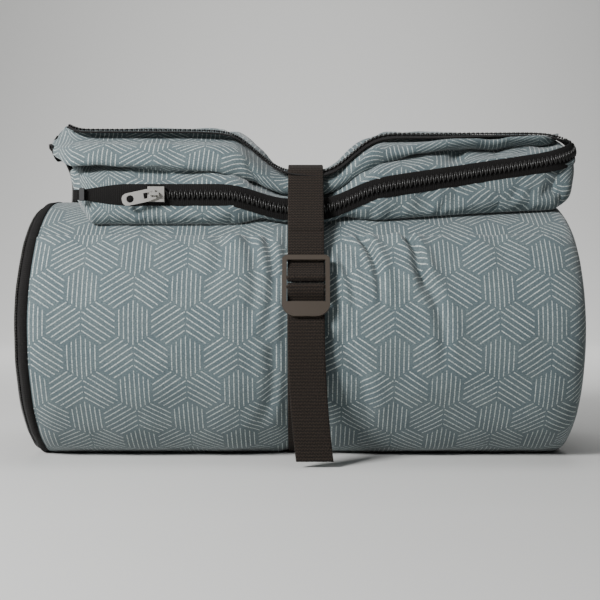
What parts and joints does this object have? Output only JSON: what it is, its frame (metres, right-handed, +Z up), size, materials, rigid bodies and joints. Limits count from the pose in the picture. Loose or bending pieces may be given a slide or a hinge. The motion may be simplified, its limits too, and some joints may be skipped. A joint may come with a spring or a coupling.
{
  "type": "infrared sauna blanket",
  "caption": "Padded infrared sauna blanket, zipped shut, folded in half, rolled up and held by one webbing strap with a ladder-lock buckle.",
  "frame": {"origin": "centre of the bounding box in plan, on the surface that the roll rests on", "axes": "+X along the roll towards its folded end, -Y towards the buckle, +Z up"},
  "size_m": [0.488, 0.2562, 0.288],
  "materials": {
    "quilted_fabric": "heathered grey-blue polyester with a printed honeycomb of fine parallel lines",
    "wadding": "bonded polyester wadding",
    "heating_film": "carbon-printed heating film",
    "lining": "coated waterproof lining",
    "zip_black": "black woven zip tape and nylon coil",
    "slider_metal": "gunmetal-plated zinc",
    "webbing": "dark brown polypropylene webbing",
    "buckle_plastic": "brown-grey moulded acetal",
    "inlet_plastic": "black moulded plastic",
    "pin_brass": "turned brass",
    "lead_insulation": "silicone wire insulation",
    "sensor_steel": "drawn steel can"
  },
  "bodies": {
    "blanket": {"cover_bottom_sheet": "quilted_fabric", "cover_top_sheet": "quilted_fabric", "tail_cover_lower": "quilted_fabric", "tail_cover_upper": "quilted_fabric", "tail_fold": "quilted_fabric", "batting_bottom_sheet": "wadding", "batting_top_sheet": "wadding", "tail_batting_lower": "wadding", "tail_batting_upper": "wadding", "heater_film_bottom": "heating_film", "heater_film_top": "heating_film", "lining_bottom_sheet": "lining", "lining_top_sheet": "lining", "side_zip_tape_inner": "zip_black", "side_zip_tape_outer": "zip_black", "side_zip_coil_inner": "zip_black", "side_zip_coil_outer": "zip_black", "tail_side_tape_lower": "zip_black", "tail_side_tape_upper": "zip_black", "end_zip_tape": "zip_black", "end_zip_coil": "zip_black", "zip_stop": "slider_metal", "strap_loop": "webbing", "strap_sewn_end": "webbing", "bar_tack": "webbing", "inlet_shell": "inlet_plastic", "inlet_flange": "inlet_plastic", "inlet_insulator": "inlet_plastic", "inlet_pin_line": "pin_brass", "inlet_pin_earth": "pin_brass", "inlet_pin_neutral": "pin_brass", "lead_neutral": "lead_insulation", "lead_line": "lead_insulation", "lead_sensor": "lead_insulation", "thermal_cutout": "sensor_steel", "temperature_probe": "sensor_steel"},
    "zip_slider": {"zip_slider": "slider_metal"},
    "pull_tab": {"pull_tab": "slider_metal"},
    "buckle": {"ladder_lock_buckle": "buckle_plastic", "strap_end_loop": "webbing", "strap_turn": "webbing"},
    "strap_tail": {"strap_tail": "webbing"}
  },
  "joints": [
    {"name": "zip_slide", "type": "slide", "parent": "blanket", "child": "zip_slider", "axis": [1, 0, 0], "range_m": [0, 0.045]},
    {"name": "pull_tab_swing", "type": "hinge", "parent": "zip_slider", "child": "pull_tab", "pos_m": [-0.12947, -0.09351, 0.22222], "axis": [-0.2079, 0, 0.9781], "range_deg": [0, 165]},
    {"name": "buckle_tilt", "type": "hinge", "parent": "blanket", "child": "buckle", "pos_m": [-0.00347, -0.1097, 0.1702], "axis": [-1, 0, 0], "range_deg": [0, 40]},
    {"name": "strap_tail_swing", "type": "hinge", "parent": "buckle", "child": "strap_tail", "pos_m": [-0.00347, -0.12352, 0.11862], "axis": [-1, 0, 0], "range_deg": [0, 85]}
  ]
}
